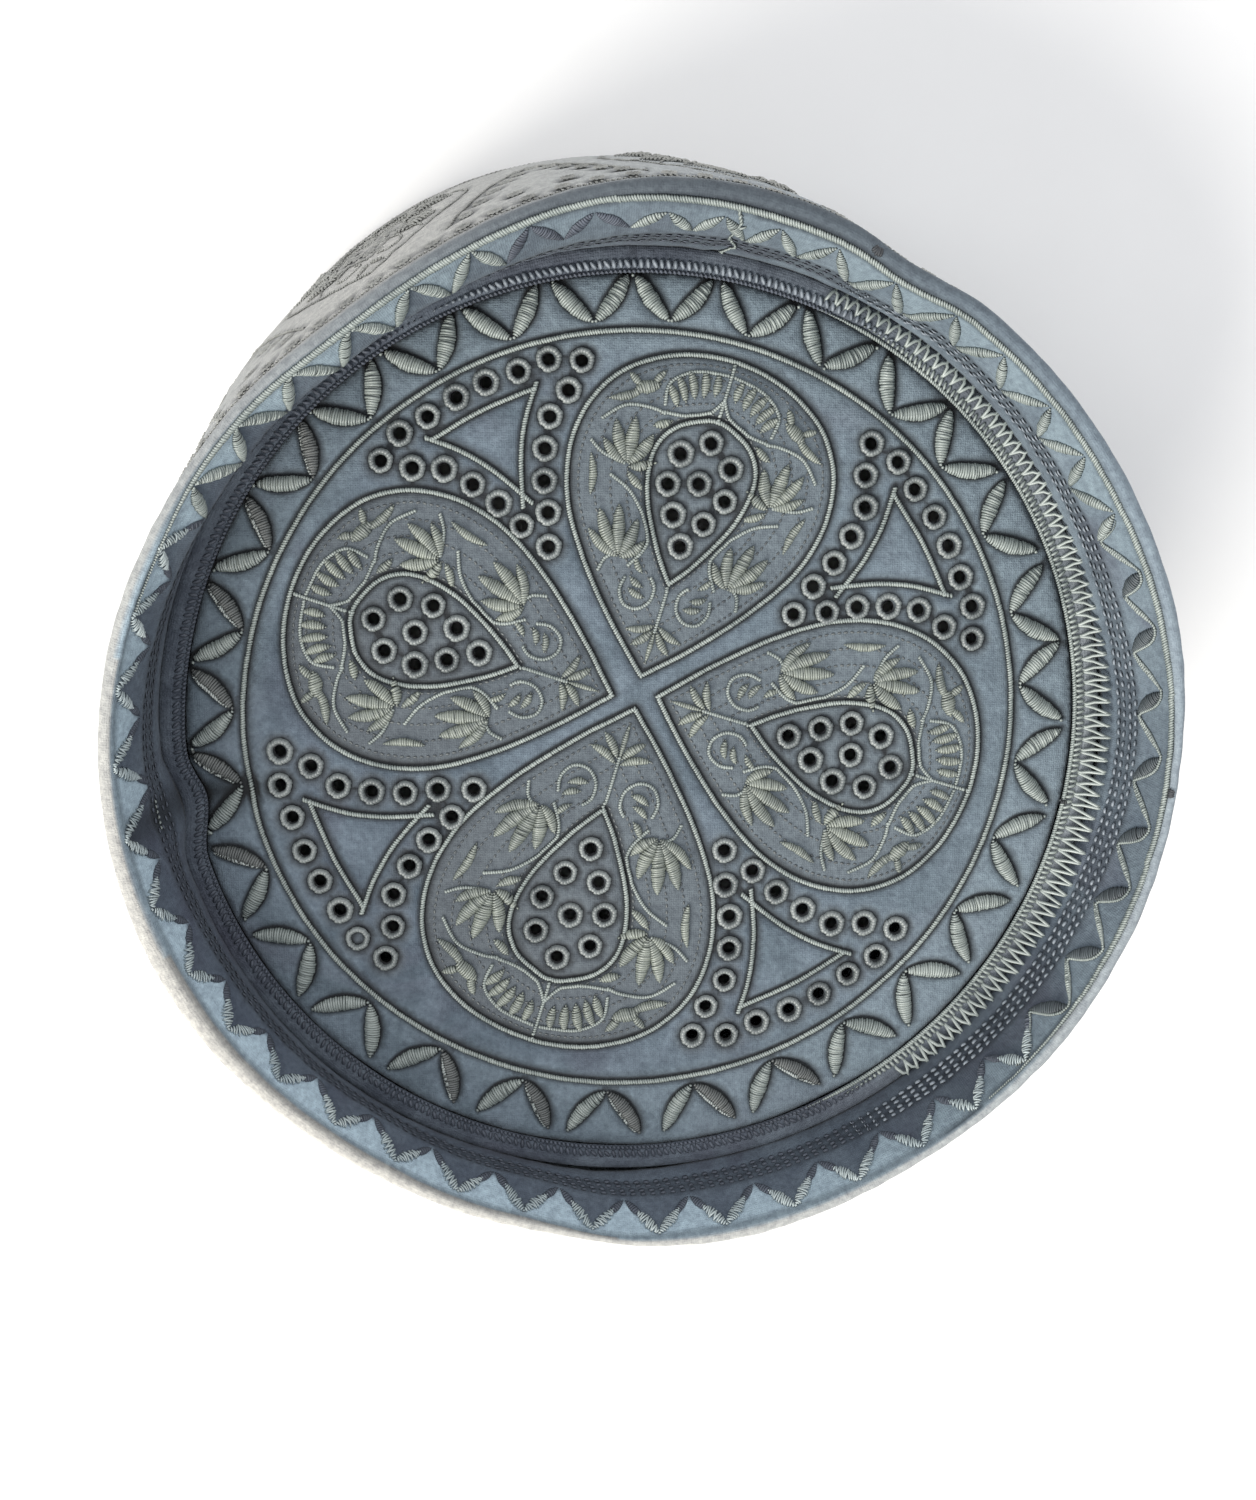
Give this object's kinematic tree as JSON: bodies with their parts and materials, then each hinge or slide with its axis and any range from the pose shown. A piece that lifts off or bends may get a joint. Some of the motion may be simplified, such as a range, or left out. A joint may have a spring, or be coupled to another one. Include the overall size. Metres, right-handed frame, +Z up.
{
  "type": "embroidered prayer cap",
  "caption": "Round soft cotton prayer cap with an upright stitched band, a rim folded inwards and a sunk round crown pierced by worked eyelets.",
  "frame": {"origin": "centre of the bounding box at the hem, on the floor that the cap stands on", "axes": "+Z up from the hem to the rim; +Y towards the back seam; +X towards the wearer's left"},
  "size_m": [0.1889, 0.1957, 0.0883],
  "materials": {
    "band_cotton": "washed blue-grey cotton, densely stitched in pale thread",
    "crown_cotton": "washed blue-grey cotton with raised stitching",
    "seam_cotton": "cotton edge overcast in pale thread",
    "pale_thread": "pale grey-green embroidery cotton, satin stitched"
  },
  "bodies": {
    "root": {"side_band": "band_cotton", "crown_disc": "crown_cotton", "crown_seam": "seam_cotton"}
  },
  "joints": []
}
